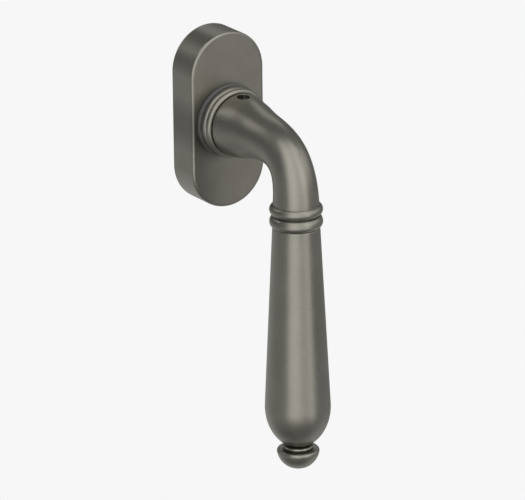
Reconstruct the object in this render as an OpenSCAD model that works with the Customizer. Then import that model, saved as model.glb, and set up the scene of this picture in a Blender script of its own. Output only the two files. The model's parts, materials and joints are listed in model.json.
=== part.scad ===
// Tilt and turn window handle: a turned lever on a rosette with round ends.
// The origin is where the spindle's axis crosses the face of the sash.
// +X is to the right seen from the room, -Y comes out into the room, +Z is up.
// The lever hangs straight down, which is the window's closed position.

/* [Rosette] */
// Width of the rosette's cover
rosette_w = 32; // [31.5:0.5:34]
// Height of the rosette's cover
rosette_h = 68.5; // [68:0.5:76]
// How far the cover's face stands out from the sash
rosette_d = 13.4; // [13.2:0.1:13.8]
// Thickness of the cover's wall
cover_wall = 1.6; // [1.2:0.1:1.6]
// Rounding of the cover's front edge
cover_edge_r = 1; // [0.4:0.1:1.2]

/* [Sash fixing] */
// Distance between the two fixing screws
fixing_spacing = 43; // [42.5:0.5:44]
// Diameter of the locating lugs that enter the sash
lug_dia = 10; // [9:0.5:10]
// How far the lugs stand out behind the base plate
lug_reach = 8; // [5:1:12]
// Nominal diameter of the fixing screws
screw_dia = 5; // [4:0.5:5]
// Length of the fixing screws, head included
screw_len = 20; // [16:1:30]

/* [Drive] */
// Width across the flats of the square spindle
spindle_w = 7; // [6:0.5:7]
// How far the spindle stands out behind the base plate
spindle_reach = 17; // [12:1:40]
// Width across the flats of the detent cam
cam_w = 16.4; // [16:0.1:16.4]
// Diameter over the rounded corners of the detent cam
cam_dia = 20.4; // [19:0.2:20.8]
// Diameter of the set screw that clamps the spindle
set_screw_dia = 5; // [4:0.5:5]
// Distance of the set screw from the sash
set_screw_at = 23.8; // [23.7:0.1:26]

/* [Lever] */
// Distance of the grip's axis from the sash
grip_reach = 58; // [54:1:66]
// Drop from the spindle's axis to the lever's lowest point
lever_drop = 125.1; // [120:0.1:140]
// Diameter of the collar's beads, next to the rosette
collar_dia = 27; // [26.4:0.1:27.2]
// Diameter of the neck where it leaves the collar
neck_root_dia = 24.2; // [23:0.1:25]
// Smallest diameter of the neck, in the bend
neck_waist_dia = 15.8; // [15:0.1:17]
// Diameter of the neck where it meets the ferrule
neck_end_dia = 17.3; // [16.5:0.1:17.8]
// Diameter of the ferrule's beads
ferrule_dia = 19.9; // [19.4:0.1:20.4]
// Diameter of the grip's upper end
grip_top_dia = 17.8; // [17:0.1:18.4]
// Largest diameter of the grip
grip_max_dia = 24.7; // [22:0.1:26]
// Diameter of the finial's rim
finial_dia = 16; // [15:0.1:17]

/* [Hidden] */

$fn = 64;
cut = 1;               // how far a cutting shape runs past the face that it opens
press = 0.02;          // radial gap of a pressed fit, within one body
slip = 0.05;           // radial gap of a running fit

// Rosette, measured outwards from the sash
cover_gap = 0.3;
cover_in_w = rosette_w - 2 * cover_wall;
cover_in_h = rosette_h - 2 * cover_wall;
base_w = cover_in_w - 2 * cover_gap;
base_h = cover_in_h - 2 * cover_gap;
base_d = 8.6;
floor_d = 3;
relief_d = 1.2;        // depth of the cast recesses in the base plate's back
rim_w = 1.8;           // width of the rim around them
rib_w = 1.6;           // width of the ribs and of the walls round the holes between them
rivet_in_x = 1.7;      // the rivets' distances from the keeper plate's edges
rivet_in_z = 1.8;
keeper_d = 1.6;
keeper_at = base_d - keeper_d;
keeper_w = 25;
keeper_h = 31;
keeper_corner_r = 2;
snap_at = 3.6;         // groove inside the cover for its two clips
snap_h = 1.2;
snap_depth = 0.4;

// Drive hub and its bearings
hub_rear_r = 7;
hub_front_r = 8.5;
hub_start = 0.4;
hub_end = 9.2;
cam_at = floor_d + 0.4;
cam_t = 3.4;
hub_bush_r = 8.6;
spring_washer_r = 10.6;
spring_washer_gap = 0.6;
hub_bush_start = 0.2;
cam_room_r = cam_dia / 2 + 1.2; // room for the leaves to be pushed outwards

// Detent springs: a straight leaf on each side of the cam
leaf_t = 0.7;
leaf_w = 3;
leaf_len = 28.8;
leaf_at = cam_w / 2 + slip;
leaf_room_len = 24;
rivet_r = 0.9;
rivet_head_r = 1.5;
rivet_head_t = 0.5;
rivet_len = 3.6;

// Collar bush: the fixed band that the lever's neck turns in
neck_spigot_r = 9;
bush_r = 12.5;
bush_flange_r = 14;
bush_end = rosette_d + 1.5;
bush_start = base_d + 0.1;
bush_edge_r = 0.3;

// Fixing screws and lugs
screw_hole_r = screw_dia / 2 + 0.25;
screw_head_r = 4.6;
screw_head_h = screw_head_r - screw_dia / 2;
screw_head_at = base_d - 0.1;
screw_tip = 0.4;
screw_head_gap = 0.2;  // gap round the head in its seat
cross_len = 4.6;       // cross recess in the head
cross_w = 1.1;
cross_depth = 1.8;
screw_core_r = screw_dia / 2 - 0.25;
thread_at = lug_reach + 0.3;
lug_seat = 2.4;
lug_spigot_r = lug_dia / 2 - 0.5;
lug_undercut = 0.3;
lug_chamfer = 0.5;

// Cover clips
clip_t = 0.5;
clip_w = 6;
clip_slot_w = clip_w + 2 * slip;
clip_foot_d = 3.4;
clip_out = cover_in_h / 2 - 0.2;
clip_in = clip_out - 4.2;

// Neck collar: two beads with a groove between them
collar_bead_r = 1.25;
collar_pitch = 2.55;
collar_gap = 0.85;     // groove between the second bead and the neck
collar_at = bush_end + 0.3;
collar_end = collar_at + 2 * collar_bead_r + collar_pitch + collar_gap;
collar_groove_r = collar_dia / 2 - 1.7;

// Neck
neck_from = collar_end;
neck_to = 20.5;
neck_pull_root = 20.7; // lengths of the two handles of the centre line's curve
neck_pull_end = 23.2;
neck_rings = 27;
neck_waist_i = 5;      // the waist's place in neck_shape
neck_shape = [1, 0.77, 0.39, 0.18, 0.04, 0, 0.42, 1];
neck_root_slope = -0.115;
neck_sides = 40;
neck_spigot_start = hub_end + 0.2;
socket_w = spindle_w + 2 * slip;
socket_end = 34;
spindle_end = socket_end - 1;
set_screw_len = 6;
set_screw_hex = 2.5;
set_screw_hex_depth = 3;
spindle_corner = 0.3;  // width of the spindle's broken corners, and of the chamfer at its tip
spindle_tip = 1.4;
stem_r = 5.5;
stem_len = 12;
stem_end_gap = 0.5;

// Grip, ferrule and finial, measured down from the spindle's axis
ferrule_at = 20.5;
ferrule_bead_r = 2.2;
ferrule_pitch = 4.8;
ferrule_first = 2.1;   // the upper bead's distance from the ferrule's upper end
ferrule_core_r = neck_end_dia / 2 + 0.2;
ferrule_len = 9.1;
grip_at = ferrule_at + ferrule_len;
grip_round_r = 16.1;   // height of the grip's rounded lower end
finial_h = 9.2;
finial_dome_h = 6.75;
finial_rim_w = 0.85;   // width and height of the rim's rounded shoulder
finial_rim_h = 0.95;
finial_cove_r = 5.25;
finial_ring_r = 5.85;
finial_ring_at = 8.75; // height of the small ring above the lowest point
grip_end = lever_drop - finial_h;
grip_widest = grip_end - 15.4;
rod_r = 3;
rod_start = 22.5;
rod_end_gap = 0.3;     // room past each end of the tie rod
rod_end = lever_drop - 3.3;

// Colours
pewter = [0.42, 0.41, 0.38];
pewter_dark = [0.33, 0.33, 0.33];
zinc = [0.66, 0.67, 0.69];
steel = [0.75, 0.76, 0.78];
spring_steel = [0.45, 0.47, 0.52];
polymer = [0.88, 0.87, 0.82];

// Turns a shape drawn with +Z out of the sash into the part's own frame
module outward() rotate([90, 0, 0]) children();

// Places a shape at both fixing points, drawn with +Z out of the sash
module at_fixing(side) translate([0, side * fixing_spacing / 2, 0]) children();

module tube(r_out, r_in, from, to) translate([0, 0, from]) difference() {
    cylinder(r = r_out, h = to - from);
    translate([0, 0, -cut]) cylinder(r = r_in, h = to - from + 2 * cut);
}

module stadium(w, h) {
    for (s = [-1, 1]) translate([0, s * (h - w) / 2]) circle(d = w);
    square([w, h - w], center = true);
}

module rounded_rect(w, h, r) {
    for (x = [-1, 1], y = [-1, 1]) translate([x * (w / 2 - r), y * (h / 2 - r)]) circle(r);
    square([w - 2 * r, h], center = true);
    square([w, h - 2 * r], center = true);
}

module ring_bead(ring_r, bead_r) rotate_extrude() translate([ring_r - bead_r, 0]) circle(bead_r);

// Cover: a drawn shell with round ends and a rounded front edge
module cover_section(half) {
    square([half, rosette_d - cover_edge_r]);
    square([half - cover_edge_r, rosette_d]);
    translate([half - cover_edge_r, rosette_d - cover_edge_r]) circle(cover_edge_r);
}

module cover_block() {
    straight = rosette_h - rosette_w;
    rotate([90, 0, 0]) linear_extrude(straight, center = true) {
        cover_section(rosette_w / 2);
        mirror([1, 0]) cover_section(rosette_w / 2);
    }
    for (s = [0, 180]) rotate([0, 0, s]) translate([0, straight / 2, 0])
        rotate_extrude(angle = 180) cover_section(rosette_w / 2);
}

module rosette_cover() color(pewter) outward() difference() {
    cover_block();
    translate([0, 0, -cut]) linear_extrude(rosette_d - cover_wall + cut) stadium(cover_in_w, cover_in_h);
    translate([0, 0, snap_at]) linear_extrude(snap_h)
        stadium(cover_in_w + 2 * snap_depth, cover_in_h + 2 * snap_depth);
    cylinder(r = bush_r + slip, h = rosette_d + cut);
}

// Base plate: a die casting that carries the drive hub and the fixing screws
module cam_pocket() {
    circle(cam_room_r);
    square([2 * (leaf_at + leaf_t + slip), leaf_len + 2 * slip], center = true);
    square([2 * cam_room_r, leaf_room_len], center = true);
}

module at_rivets() for (x = [-1, 1], y = [-1, 1])
    translate([x * (keeper_w / 2 - rivet_in_x), y * (keeper_h / 2 - rivet_in_z), 0]) children();

module base_plate() color(zinc) outward() difference() {
    linear_extrude(base_d) stadium(base_w, base_h);
    translate([0, 0, floor_d]) linear_extrude(base_d) cam_pocket();
    translate([0, 0, keeper_at]) linear_extrude(base_d)
        rounded_rect(keeper_w + 2 * slip, keeper_h + 2 * slip, keeper_corner_r);
    translate([0, 0, -cut]) linear_extrude(relief_d + cut) difference() {
        stadium(base_w - 2 * rim_w, base_h - 2 * rim_w);
        circle(hub_bush_r + rib_w);
        for (s = [-1, 1]) at_fixing(s) circle(lug_dia / 2 + rib_w);
        square([rib_w, base_h], center = true);
        square([base_w, rib_w], center = true);
    }
    translate([0, 0, -cut]) cylinder(r = hub_bush_r + press, h = base_d);
    at_rivets() translate([0, 0, keeper_at + keeper_d - rivet_len - cut])
        cylinder(r = rivet_r + press, h = base_d);
    for (s = [-1, 1]) at_fixing(s) {
        translate([0, 0, -cut]) cylinder(r = screw_hole_r, h = base_d + 2 * cut);
        translate([0, 0, -cut]) cylinder(r = lug_spigot_r + press, h = lug_seat + cut);
        translate([0, 0, -cut]) cylinder(r = lug_dia / 2 + slip, h = lug_undercut + cut);
        translate([0, 0, screw_head_at - screw_head_h]) cylinder(
            r1 = screw_dia / 2 + screw_head_gap,
            r2 = screw_head_r + screw_head_gap,
            h = screw_head_h
        );
        translate([0, 0, screw_head_at]) cylinder(r = screw_head_r + screw_head_gap, h = base_d);
    }
    for (s = [-1, 1]) scale([1, s, 1])
        translate([-clip_slot_w / 2, clip_in - slip, clip_foot_d]) cube([clip_slot_w, base_h, base_d]);
}

// Lug: a sleeve with a spigot pressed in the base plate and a chamfered tip
module lug() color(steel) outward() rotate_extrude() polygon([
    [screw_hole_r, lug_seat], [screw_hole_r, -lug_reach],
    [lug_dia / 2 - lug_chamfer, -lug_reach], [lug_dia / 2, lug_chamfer - lug_reach],
    [lug_dia / 2, -lug_undercut], [lug_spigot_r, -lug_undercut], [lug_spigot_r, lug_seat],
]);
module lug_upper() translate([0, 0, fixing_spacing / 2]) lug();
module lug_lower() translate([0, 0, -fixing_spacing / 2]) lug();

// Countersunk screw with a cross recess. Its thread is at full diameter only past the lug
module fixing_screw() color(steel) outward() difference() {
    union() {
        translate([0, 0, screw_head_at - screw_len])
            cylinder(r = screw_core_r, h = screw_len - screw_head_h / 2);
        translate([0, 0, screw_head_at - screw_len + screw_tip])
            cylinder(d = screw_dia, h = screw_len - screw_tip - screw_head_at - thread_at);
        translate([0, 0, screw_head_at - screw_head_h])
            cylinder(r1 = screw_dia / 2, r2 = screw_head_r, h = screw_head_h);
    }
    for (a = [0, 90]) rotate([0, 0, a]) translate([-cross_len / 2, -cross_w / 2, screw_head_at - cross_depth])
        cube([cross_len, cross_w, cross_depth + cut]);
}
module fixing_screw_upper() translate([0, 0, fixing_spacing / 2]) fixing_screw();
module fixing_screw_lower() translate([0, 0, -fixing_spacing / 2]) fixing_screw();

module hub_bush() color(polymer) outward() tube(hub_bush_r, hub_rear_r + slip, hub_bush_start, floor_d);

module spring_washer() color(spring_steel) outward()
    tube(spring_washer_r, hub_rear_r + spring_washer_gap, floor_d + slip, cam_at - slip);

module detent_leaf(side) color(spring_steel) outward()
    translate([side * (leaf_at + leaf_t / 2), 0, cam_at + cam_t / 2])
        cube([leaf_t, leaf_len, leaf_w], center = true);
module detent_spring_left() detent_leaf(-1);
module detent_spring_right() detent_leaf(1);

// Keeper plate: closes the detent chamber and is the hub's front bearing
module keeper_plate() color(steel) outward() difference() {
    translate([0, 0, keeper_at]) linear_extrude(keeper_d) rounded_rect(keeper_w, keeper_h, keeper_corner_r);
    cylinder(r = hub_front_r + slip, h = base_d + cut);
    at_rivets() cylinder(r = rivet_r + press, h = base_d + cut);
}

module keeper_rivets() color(steel) outward() at_rivets() {
    translate([0, 0, base_d - rivet_len]) cylinder(r = rivet_r, h = rivet_len + rivet_head_t);
    translate([0, 0, base_d]) cylinder(r = rivet_head_r, h = rivet_head_t);
}

// Cover clip: a bent strip whose nose springs into the cover's groove
module clip_strip() {
    top = base_d - 0.2;
    nose = snap_at + snap_h / 2;
    translate([clip_in, clip_foot_d + 0.1]) square([clip_t, top - clip_foot_d - 0.1]);
    translate([clip_in, top - clip_t]) square([clip_out - clip_in - 0.2, clip_t]);
    polygon([
        [clip_out - 0.2 - clip_t, top], [clip_out - 0.2 - clip_t, nose + 0.8], [clip_out - 0.1, nose],
        [clip_out - 0.9, clip_foot_d + 0.1], [clip_out - 0.4, clip_foot_d + 0.1],
        [clip_out + 0.3, nose], [clip_out - 0.2, nose + 0.8], [clip_out - 0.2, top],
    ]);
}
module cover_clip(side) color(spring_steel) outward() scale([1, side, 1])
    rotate([90, 0, 90]) linear_extrude(clip_w, center = true) clip_strip();
module cover_clip_upper() cover_clip(1);
module cover_clip_lower() cover_clip(-1);

module collar_bush() color(pewter_dark) outward() rotate_extrude() difference() {
    union() {
        translate([0, bush_start]) square([bush_r, rosette_d - bush_start]);
        translate([0, rosette_d]) square([bush_flange_r, bush_end - rosette_d - bush_edge_r]);
        translate([0, rosette_d]) square([bush_flange_r - bush_edge_r, bush_end - rosette_d]);
        translate([bush_flange_r - bush_edge_r, bush_end - bush_edge_r]) circle(bush_edge_r);
    }
    translate([-cut, 0]) square([neck_spigot_r + slip + cut, bush_end + cut]);
}

// Drive hub: two journals, a square cam between them and a square socket
module drive_hub() color(zinc) outward() difference() {
    union() {
        translate([0, 0, hub_start]) cylinder(r = hub_rear_r, h = cam_at - hub_start);
        translate([0, 0, cam_at]) linear_extrude(cam_t) intersection() {
            square(cam_w, center = true);
            circle(d = cam_dia);
        }
        translate([0, 0, cam_at + cam_t]) cylinder(r = hub_front_r, h = hub_end - cam_at - cam_t);
    }
    linear_extrude(hub_end + cut) square(socket_w, center = true);
}

module spindle() color(steel) outward() difference() {
    translate([0, 0, -spindle_reach]) linear_extrude(spindle_end + spindle_reach) intersection() {
        square(spindle_w, center = true);
        rotate(45) square(spindle_w * sqrt(2) - 2 * spindle_corner, center = true);
    }
    for (a = [0 : 90 : 270]) rotate([0, 0, a]) translate([spindle_w / 2, 0, -spindle_reach])
        rotate([0, 45, 0]) cube([spindle_tip, 2 * spindle_w, spindle_tip], center = true);
}

// Neck: its centre line is a curve in the plane X = 0, from the collar to the ferrule
function neck_centre(t) = let (
    a = [neck_from, 0],
    b = [neck_from + neck_pull_root, 0],
    c = [grip_reach, neck_pull_end - neck_to],
    d = [grip_reach, -neck_to],
    u = 1 - t
) u * u * u * a + 3 * u * u * t * b + 3 * u * t * t * c + t * t * t * d;

function neck_heading(t) = let (
    e = 0.001,
    v = neck_centre(min(1, t + e)) - neck_centre(max(0, t - e))
) v / norm(v);

neck_points = [for (i = [0 : neck_rings - 1]) neck_centre(i / (neck_rings - 1))];
function run_to(i) = i == 0 ? 0 : run_to(i - 1) + norm(neck_points[i] - neck_points[i - 1]);

// Radii at equal steps along the neck, from root to waist to end, joined by a smooth curve
neck_radii = [for (i = [0 : len(neck_shape) - 1])
    let (end_dia = i < neck_waist_i ? neck_root_dia : neck_end_dia)
    (neck_waist_dia + (end_dia - neck_waist_dia) * neck_shape[i]) / 2];
neck_last = len(neck_radii) - 1;

function neck_slope(i) = i == 0 ? neck_root_slope * (neck_root_dia - neck_waist_dia) / 2
    : i == neck_last ? neck_radii[i] - neck_radii[i - 1]
    : (neck_radii[i + 1] - neck_radii[i - 1]) / 2;

function neck_radius(s) = let (
    i = min(floor(s * neck_last), neck_last - 1),
    t = s * neck_last - i,
    turn = t * t * (3 - 2 * t)
) neck_radii[i] * (1 - turn) + neck_radii[i + 1] * turn
    + neck_slope(i) * t * (1 - t) * (1 - t) - neck_slope(i + 1) * t * t * (1 - t);

function neck_ring(i) = let (
    c = neck_points[i],
    h = neck_heading(i / (neck_rings - 1)),
    r = neck_radius(run_to(i) / run_to(neck_rings - 1))
) [for (k = [0 : neck_sides - 1]) let (a = 360 * k / neck_sides, up = r * cos(a))
    [r * sin(a), -(c[0] - up * h[1]), c[1] + up * h[0]]];

module neck_tube() {
    last = (neck_rings - 1) * neck_sides;
    polyhedron(
        points = [for (i = [0 : neck_rings - 1]) each neck_ring(i)],
        faces = [
            [for (k = [neck_sides - 1 : -1 : 0]) k],
            [for (k = [0 : neck_sides - 1]) last + k],
            for (i = [0 : neck_rings - 2], k = [0 : neck_sides - 1])
                let (p = i * neck_sides + k, q = i * neck_sides + (k + 1) % neck_sides)
                each [[p, q, p + neck_sides], [q, q + neck_sides, p + neck_sides]],
        ]
    );
}

module lever_neck() color(pewter) difference() {
    union() {
        neck_tube();
        outward() translate([0, 0, neck_spigot_start])
            cylinder(r = neck_spigot_r, h = neck_from - neck_spigot_start + 2);
        translate([0, -grip_reach, -neck_to - stem_len]) cylinder(r = stem_r, h = stem_len + 2);
    }
    outward() linear_extrude(socket_end) square(socket_w, center = true);
    translate([0, -set_screw_at, 0]) cylinder(d = set_screw_dia, h = neck_root_dia);
    translate([0, -grip_reach, -neck_to - stem_len - cut])
        cylinder(r = rod_r + slip, h = neck_to + stem_len + cut - rod_start + rod_end_gap);
}

module neck_collar() color(pewter) outward() difference() {
    union() {
        translate([0, 0, collar_at]) cylinder(r = collar_groove_r, h = collar_end - collar_at);
        for (i = [0, 1]) translate([0, 0, collar_at + collar_bead_r + i * collar_pitch])
            ring_bead(collar_dia / 2, collar_bead_r);
    }
    cylinder(r = neck_spigot_r + press, h = collar_end + cut);
}

module set_screw() color(steel) translate([0, -set_screw_at, spindle_w / 2 + slip]) difference() {
    cylinder(d = set_screw_dia - 2 * slip, h = set_screw_len);
    translate([0, 0, set_screw_len - set_screw_hex_depth])
        cylinder(d = set_screw_hex / cos(30), h = set_screw_hex_depth + cut, $fn = 6);
}

module on_grip_axis(drop) translate([0, -grip_reach, -drop]) children();

module grip_ferrule() color(pewter) on_grip_axis(grip_at) difference() {
    union() {
        cylinder(r = ferrule_core_r, h = ferrule_len);
        for (i = [0, 1]) translate([0, 0, ferrule_len - ferrule_first - i * ferrule_pitch])
            ring_bead(ferrule_dia / 2, ferrule_bead_r);
    }
    translate([0, 0, -cut]) cylinder(r = stem_r + press, h = ferrule_len + 2 * cut);
    translate([0, 0, ferrule_len]) cylinder(r = ferrule_dia, h = cut);
    translate([0, 0, -cut]) cylinder(r = ferrule_dia, h = cut);
}

// Grip: a long taper that ends in half an ellipse, turned about its own axis
module grip() color(pewter) on_grip_axis(grip_end) {
    max_r = grip_max_dia / 2;
    steps = 24;
    low = asin((grip_end - grip_widest) / grip_round_r);
    rotate_extrude() polygon([
        [rod_r + 2 * slip, 0],
        for (i = [0 : steps]) let (a = low * (1 - i / steps))
            [max_r * cos(a), grip_end - grip_widest - grip_round_r * sin(a)],
        [grip_top_dia / 2, grip_end - grip_at],
        [stem_r + press, grip_end - grip_at],
        [stem_r + press, grip_end - neck_to - stem_len - stem_end_gap],
        [rod_r + 2 * slip, grip_end - neck_to - stem_len - stem_end_gap],
    ]);
}

module tie_rod() color(steel) on_grip_axis(rod_end) cylinder(r = rod_r, h = rod_end - rod_start);

// Finial: a small ring, a cove, a rim and a slightly pointed dome
module finial() color(pewter) on_grip_axis(lever_drop) {
    rim_r = finial_dia / 2;
    steps = 14;
    hole = lever_drop - rod_end - rod_end_gap;
    rotate_extrude() polygon([
        [0, hole], [0, 0],
        for (i = [1 : steps]) let (q = cos(90 * i / steps))
            [rim_r * pow(1 - pow(q, 1.57), 1 / 2.4), finial_dome_h * (1 - q)],
        for (i = [1 : 4]) let (a = 90 * i / 4)
            [rim_r - finial_rim_w * (1 - cos(a)), finial_dome_h + finial_rim_h * sin(a)],
        [finial_cove_r + 0.35, finial_ring_at - 0.9], [finial_cove_r, finial_ring_at - 0.65],
        [finial_ring_r - 0.25, finial_ring_at - 0.35], [finial_ring_r, finial_ring_at],
        [finial_ring_r - 0.15, finial_ring_at + 0.3], [finial_ring_r - 0.5, finial_h],
        [rod_r + slip, finial_h], [rod_r + slip, hole],
    ]);
}

base_plate();
rosette_cover();
collar_bush();
lug_upper();
lug_lower();
fixing_screw_upper();
fixing_screw_lower();
hub_bush();
spring_washer();
detent_spring_left();
detent_spring_right();
keeper_plate();
keeper_rivets();
cover_clip_upper();
cover_clip_lower();
drive_hub();
spindle();
lever_neck();
neck_collar();
set_screw();
grip_ferrule();
grip();
tie_rod();
finial();
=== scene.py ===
"""Tilt and turn window handle: fine meshes, materials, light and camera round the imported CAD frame."""
import json
import math

import bmesh
import bpy
from mathutils import Matrix, Vector


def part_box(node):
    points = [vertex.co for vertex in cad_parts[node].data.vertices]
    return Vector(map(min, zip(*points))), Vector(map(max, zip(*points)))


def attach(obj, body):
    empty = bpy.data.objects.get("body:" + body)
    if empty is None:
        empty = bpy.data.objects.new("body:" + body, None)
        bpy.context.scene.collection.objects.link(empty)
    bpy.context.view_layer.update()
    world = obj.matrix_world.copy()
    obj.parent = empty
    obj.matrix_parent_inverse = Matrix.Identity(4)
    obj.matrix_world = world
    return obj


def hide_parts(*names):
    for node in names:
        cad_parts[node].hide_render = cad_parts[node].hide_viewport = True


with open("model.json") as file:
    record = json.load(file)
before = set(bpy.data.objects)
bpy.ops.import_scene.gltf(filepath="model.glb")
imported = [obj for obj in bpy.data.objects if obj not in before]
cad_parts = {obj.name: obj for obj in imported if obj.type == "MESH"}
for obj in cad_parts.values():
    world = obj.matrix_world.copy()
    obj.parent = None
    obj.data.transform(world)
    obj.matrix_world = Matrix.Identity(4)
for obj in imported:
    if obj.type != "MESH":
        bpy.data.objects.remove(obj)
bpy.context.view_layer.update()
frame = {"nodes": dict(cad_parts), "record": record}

MM = 0.001
FULL_TURN = 2 * math.pi

# Camera: a long lens, to the left of the handle and above it. Its values were fitted to the photo's outline.
CAMERA_AZIMUTH = -33.69
CAMERA_ELEVATION = 19.72
CAMERA_ROLL = -0.65
CAMERA_DISTANCE = 1.8918
CAMERA_TARGET = Vector((0.0236, 0.0, -0.0606))
CAMERA_LENS = 339.1
SENSOR = 36.0

# Round pieces
ROUND_SEGMENTS = 144
FILLET_STEP = math.radians(12)
ARC_STEP = math.radians(6)
SHARP_ANGLE = math.radians(28)
SUPPORT = 0.12         # distance of the extra points that keep a flat flat, next to a fillet
SLIP = 0.05            # gap of a running fit
WEAR_AND_PAINTED_LIGHT_GAIN = 0.5        # how fast edge abrasion with a painted highlight, and painted shade in hollows, grow with the bend, and how much bend goes without any
WEAR_AND_PAINTED_LIGHT_FREE = 0.15


# ---------------------------------------------------------------- frame sizes, in millimetres
def low(node):
    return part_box(node)[0] / MM


def high(node):
    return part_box(node)[1] / MM


COVER_R = high("rosette_cover").x
COVER_STRAIGHT = high("rosette_cover").z - COVER_R
COVER_D = -low("rosette_cover").y
BUSH_R = high("collar_bush").x
BUSH_START = -high("collar_bush").y
BUSH_END = -low("collar_bush").y
COLLAR_R = high("neck_collar").x
COLLAR_START = -high("neck_collar").y
COLLAR_END = -low("neck_collar").y
NECK_ROOT_R = high("lever_neck").x
NECK_START = -high("lever_neck").y
STEM_END = low("lever_neck").z
FERRULE_R = high("grip_ferrule").x
FERRULE_TOP = high("grip_ferrule").z
FERRULE_END = low("grip_ferrule").z
GRIP_REACH = -(high("grip").y + low("grip").y) / 2
GRIP_R = high("grip").x
GRIP_END = low("grip").z
FINIAL_R = high("finial").x
FINIAL_TOP = high("finial").z
FINIAL_END = low("finial").z
SET_SCREW_AT = -(high("set_screw").y + low("set_screw").y) / 2
SET_SCREW_TOP = high("set_screw").z
LUG_R = high("lug_upper").x
LUG_REACH = high("lug_upper").y
LUG_SEAT = -low("lug_upper").y
FIXING_Z = (high("lug_upper").z + low("lug_upper").z) / 2
SCREW_TIP = high("fixing_screw_upper").y
SCREW_TOP = -low("fixing_screw_upper").y
SCREW_HEAD_R = high("fixing_screw_upper").x
SPINDLE_HALF = high("spindle").x
SPINDLE_REACH = high("spindle").y
SPINDLE_IN = -low("spindle").y
ROD_R = high("tie_rod").x
ROD_TOP = high("tie_rod").z


# ---------------------------------------------------------------- axes
def about_spindle(radius, angle, out):
    """A point at that distance out of the sash, turned about the spindle's axis from straight up."""
    return Vector((radius * math.sin(angle), -out, radius * math.cos(angle)))


def about_grip(radius, angle, z):
    """A point at that height, turned about the grip's axis from the side that faces the room."""
    return Vector((radius * math.sin(angle), -GRIP_REACH - radius * math.cos(angle), z))


def about_fixing(side):
    """The same as about_spindle, at the upper (1) or lower (-1) fixing point."""
    return lambda radius, angle, out: about_spindle(radius, angle, out) + Vector((0, 0, side * FIXING_Z))


# ---------------------------------------------------------------- sections of turned pieces
def arc(centre, radius, start, end, step=ARC_STEP):
    """Points of an arc about centre, in degrees from the radial direction towards the height."""
    a, b = math.radians(start), math.radians(end)
    count = max(2, math.ceil(abs(b - a) / step))
    angles = [a + (b - a) * i / count for i in range(count + 1)]
    return [(centre[0] + radius * math.cos(t), centre[1] + radius * math.sin(t)) for t in angles]


def corner(before, point, after, fillet):
    """A corner rounded by a fillet, with a support point on each side that keeps the flats flat."""
    p, a, b = Vector(point), Vector(before) - Vector(point), Vector(after) - Vector(point)
    room = min(a.length, b.length)
    a.normalize()
    b.normalize()
    opening = a.angle(b)
    reach = min(fillet / math.tan(opening / 2), 0.45 * room)
    radius = reach * math.tan(opening / 2)
    centre = p + (a + b).normalized() * (radius / math.sin(opening / 2))
    turn = math.pi - opening
    steps = max(2, math.ceil(turn / FILLET_STEP))
    first, last = p + a * reach - centre, p + b * reach - centre
    points = []
    for i in range(steps + 1):
        t = i / steps
        spoke = first * math.sin((1 - t) * turn) + last * math.sin(t * turn)
        points.append(centre + spoke / math.sin(turn))
    if reach + SUPPORT < 0.5 * room:
        points = [p + a * (reach + SUPPORT), *points, p + b * (reach + SUPPORT)]
    return [tuple(q) for q in points]


def section(*parts):
    """A closed section from corners (radius, height, fillet) and ready lists of points."""
    flat = []
    for part in parts:
        flat.extend(part if isinstance(part, list) else [part])
    points = []
    for i, part in enumerate(flat):
        if len(part) == 3 and part[2] > 0:
            points.extend(corner(flat[i - 1][:2], part[:2], flat[(i + 1) % len(flat)][:2], part[2]))
        else:
            points.append(tuple(part[:2]))
    return points


def bead(crest_r, height, bead_r, core_r, lower=None):
    """A half-round bead that stands on a core, drawn downwards in height."""
    half = math.degrees(math.acos((core_r - crest_r + bead_r) / bead_r))
    return arc((crest_r - bead_r, height), bead_r, half, -half if lower is None else lower)


# ---------------------------------------------------------------- meshes
def bend_at(before, point, after):
    """How sharply a line turns at a point: (turn in radians, turn per millimetre)."""
    a, b = Vector(point) - Vector(before), Vector(after) - Vector(point)
    if a.length < 1e-7 or b.length < 1e-7:
        return 0.0, 0.0
    turn = math.atan2(a.x * b.y - a.y * b.x, a.dot(b))
    return turn, turn / max(0.5 * (a.length + b.length), 1e-6)


def make_piece(name, points, faces, sharp=(), edge=None):
    """A smooth closed mesh from points in millimetres. edge runs from -1 in hollows, for a painted shade, to
    1 on edges, for abrasion with a painted highlight.
    """
    mesh = bpy.data.meshes.new(name)
    mesh.from_pydata([tuple(p * MM) for p in points], [], faces)
    wear_and_painted_light = mesh.attributes.new("edge", "FLOAT", "POINT")
    wear_and_painted_light.data.foreach_set("value", edge or [0.0] * len(points))
    mesh.update()
    work = bmesh.new()
    work.from_mesh(mesh)
    bmesh.ops.recalc_face_normals(work, faces=work.faces)
    wanted = set(sharp)
    for e in work.edges:
        key = tuple(sorted((e.verts[0].index, e.verts[1].index)))
        e.smooth = key not in wanted
    for f in work.faces:
        f.smooth = True
    work.to_mesh(mesh)
    work.free()
    piece = bpy.data.objects.new(name, mesh)
    bpy.context.scene.collection.objects.link(piece)
    return piece


def wear_and_painted_light_of(turn_rate):
    """Abraded convex edges with a painted highlight give up to 1, and hollows with a painted shade down to
    -1, from the curvature in 1/mm.
    """
    wear_and_painted_light = max(0.0, min(1.0, WEAR_AND_PAINTED_LIGHT_GAIN * turn_rate - WEAR_AND_PAINTED_LIGHT_FREE))
    hollow = max(0.0, min(1.0, -WEAR_AND_PAINTED_LIGHT_GAIN * turn_rate - WEAR_AND_PAINTED_LIGHT_FREE))
    return wear_and_painted_light - hollow


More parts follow.
